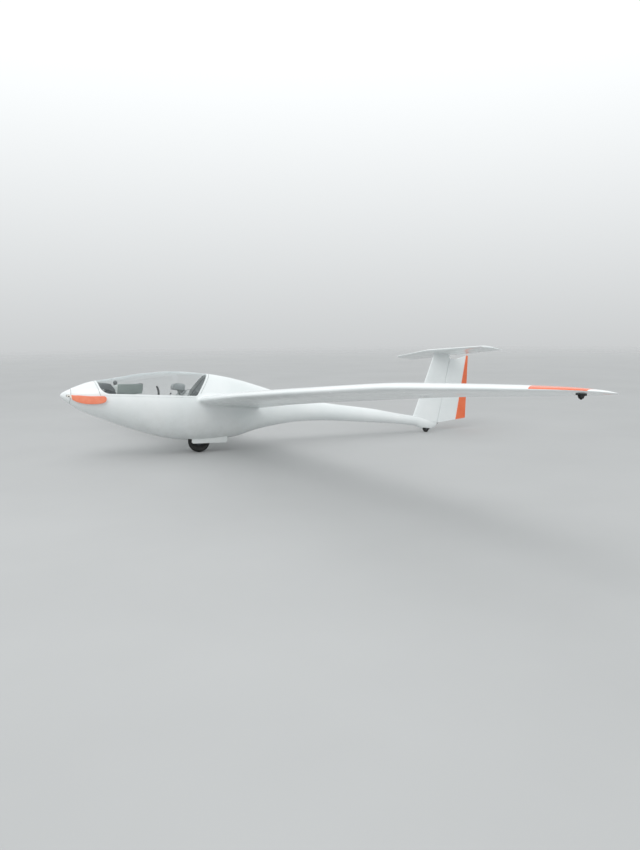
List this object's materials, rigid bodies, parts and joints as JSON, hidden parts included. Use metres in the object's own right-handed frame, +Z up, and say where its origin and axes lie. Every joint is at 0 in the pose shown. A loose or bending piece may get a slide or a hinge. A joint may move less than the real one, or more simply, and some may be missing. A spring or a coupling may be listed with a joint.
{
  "type": "single-seat electric sailplane glider",
  "caption": "Single-seat T-tailed sailplane with a folding nose propeller, side-hinged canopy, airbrakes, flaperons and one main wheel, parked leaning on its right tip wheel.",
  "frame": {"origin": "on the ground, at the middle of the overall length and width of the parked aircraft", "axes": "+X forwards towards the nose, +Y towards the raised left wing tip, +Z up; the airframe itself is tipped nose up by 8.3 degrees and leans to the right by 5.4 degrees, as it parks"},
  "size_m": [6.37, 13.24, 1.3697],
  "materials": {
    "gelcoat_white": "gloss gelcoat",
    "acrylic": "clear",
    "alloy": "brushed",
    "steel": "satin",
    "tyre": "matt",
    "black_plastic": "matt",
    "blade_orange": "gloss",
    "cockpit_grey": "fine speckle",
    "headrest_fabric": "woven",
    "battery_case": "matt"
  },
  "bodies": {
    "airframe": {"fuselage": "gelcoat_white", "canopy_hinge_front": "steel", "canopy_hinge_rear": "steel", "wing_left": "gelcoat_white", "wing_right": "gelcoat_white", "tailplane": "gelcoat_white", "tail_fairing": "gelcoat_white", "fin": "gelcoat_white", "main_axle": "steel", "gear_leg_left": "steel", "gear_door_left": "gelcoat_white", "gear_leg_right": "steel", "gear_door_right": "gelcoat_white", "tail_axle": "steel", "tip_bracket_left": "black_plastic", "tip_bracket_right": "black_plastic", "motor": "alloy", "firewall": "cockpit_grey", "seat_pan": "cockpit_grey", "headrest": "headrest_fabric", "rear_bulkhead": "cockpit_grey", "instrument_panel": "black_plastic", "panel_pedestal": "cockpit_grey", "compass": "black_plastic", "control_stick": "black_plastic", "rudder_pedals": "steel", "battery_left": "battery_case", "battery_right": "battery_case"},
    "canopy": {"canopy_frame": "gelcoat_white", "canopy_glass": "acrylic"},
    "propeller_hub": {"spinner": "gelcoat_white"},
    "propeller_blade_left": {"blade_left": "blade_orange"},
    "propeller_blade_right": {"blade_right": "blade_orange"},
    "rudder_body": {"rudder": "gelcoat_white"},
    "elevator_body": {"elevator_left": "gelcoat_white", "elevator_right": "gelcoat_white"},
    "inner_flaperon_left_body": {"inner_flaperon_left": "gelcoat_white"},
    "inner_flaperon_right_body": {"inner_flaperon_right": "gelcoat_white"},
    "outer_flaperon_left_body": {"outer_flaperon_left": "gelcoat_white"},
    "outer_flaperon_right_body": {"outer_flaperon_right": "gelcoat_white"},
    "airbrake_left_body": {"airbrake_left": "alloy"},
    "airbrake_right_body": {"airbrake_right": "alloy"},
    "main_wheel": {"main_tyre": "tyre", "main_rim": "alloy"},
    "tail_wheel": {"tail_tyre": "tyre", "tail_rim": "alloy"},
    "tip_wheel_left": {"tip_tyre_left": "tyre", "tip_rim_left": "alloy"},
    "tip_wheel_right": {"tip_tyre_right": "tyre", "tip_rim_right": "alloy"}
  },
  "joints": [
    {"name": "canopy_hinge", "type": "hinge", "parent": "airframe", "child": "canopy", "pos_m": [1.71003, -0.30693, 0.706], "axis": [0.9972, 0.0067, 0.0741], "range_deg": [0, 75]},
    {"name": "propeller_spin", "type": "hinge", "parent": "airframe", "child": "propeller_hub", "pos_m": [3.08607, 0.00739, 0.83324], "axis": [0.9895, 0, 0.1442], "continuous": true},
    {"name": "blade_fold_left", "type": "hinge", "parent": "propeller_hub", "child": "propeller_blade_left", "pos_m": [3.10105, 0.06911, 0.84138], "axis": [0.1436, 0.0951, -0.9851], "range_deg": [0, 64]},
    {"name": "blade_fold_right", "type": "hinge", "parent": "propeller_hub", "child": "propeller_blade_right", "pos_m": [3.10275, -0.05433, 0.82971], "axis": [-0.1436, -0.0951, 0.9851], "range_deg": [0, 64]},
    {"name": "rudder_hinge", "type": "hinge", "parent": "airframe", "child": "rudder_body", "pos_m": [-2.51375, -0.00373, 0.13487], "axis": [-0.2841, -0.0941, 0.9542], "range_deg": [-30, 30]},
    {"name": "elevator_hinge", "type": "hinge", "parent": "airframe", "child": "elevator_body", "pos_m": [-2.75751, -0.11012, 1.22504], "axis": [-0.0137, 0.9955, 0.0941], "range_deg": [-17, 27]},
    {"name": "inner_flaperon_left_hinge", "type": "hinge", "parent": "airframe", "child": "inner_flaperon_left_body", "pos_m": [0.79324, 0.34183, 0.62747], "axis": [0.0101, 0.9939, 0.1094], "range_deg": [-12, 16]},
    {"name": "outer_flaperon_left_hinge", "type": "hinge", "parent": "airframe", "child": "outer_flaperon_left_body", "pos_m": [0.83494, 4.41369, 1.07556], "axis": [0.0851, 0.9929, 0.0827], "range_deg": [-12, 16]},
    {"name": "airbrake_left_slide", "type": "slide", "parent": "airframe", "child": "airbrake_left_body", "axis": [-0.1436, -0.0951, 0.9851], "range_m": [0, 0.05]},
    {"name": "inner_flaperon_right_hinge", "type": "hinge", "parent": "airframe", "child": "inner_flaperon_right_body", "pos_m": [0.95569, -4.40617, 0.24186], "axis": [-0.0375, 0.9962, 0.0787], "range_deg": [-12, 16]},
    {"name": "outer_flaperon_right_hinge", "type": "hinge", "parent": "airframe", "child": "outer_flaperon_right_body", "pos_m": [1.13633, -6.00507, 0.07314], "axis": [-0.1124, 0.9882, 0.1045], "range_deg": [-12, 16]},
    {"name": "airbrake_right_slide", "type": "slide", "parent": "airframe", "child": "airbrake_right_body", "axis": [-0.1436, -0.0951, 0.9851], "range_m": [0, 0.05]},
    {"name": "main_wheel_spin", "type": "hinge", "parent": "airframe", "child": "main_wheel", "pos_m": [1.44453, 0.04941, 0.14937], "axis": [-0.0137, 0.9955, 0.0941], "continuous": true},
    {"name": "tail_wheel_spin", "type": "hinge", "parent": "airframe", "child": "tail_wheel", "pos_m": [-2.28451, 0.00653, 0.05963], "axis": [-0.0137, 0.9955, 0.0941], "continuous": true},
    {"name": "tip_wheel_left_spin", "type": "hinge", "parent": "airframe", "child": "tip_wheel_left", "pos_m": [1.09967, 6.37269, 1.21903], "axis": [-0.0137, 0.9955, 0.0941], "continuous": true},
    {"name": "tip_wheel_right_spin", "type": "hinge", "parent": "airframe", "child": "tip_wheel_right", "pos_m": [1.27517, -6.36932, 0.01478], "axis": [-0.0137, 0.9955, 0.0941], "continuous": true}
  ],
  "couplings": [
    {"joint": "outer_flaperon_left_hinge", "follows": "inner_flaperon_left_hinge", "ratio": 1},
    {"joint": "outer_flaperon_right_hinge", "follows": "inner_flaperon_right_hinge", "ratio": 1}
  ]
}
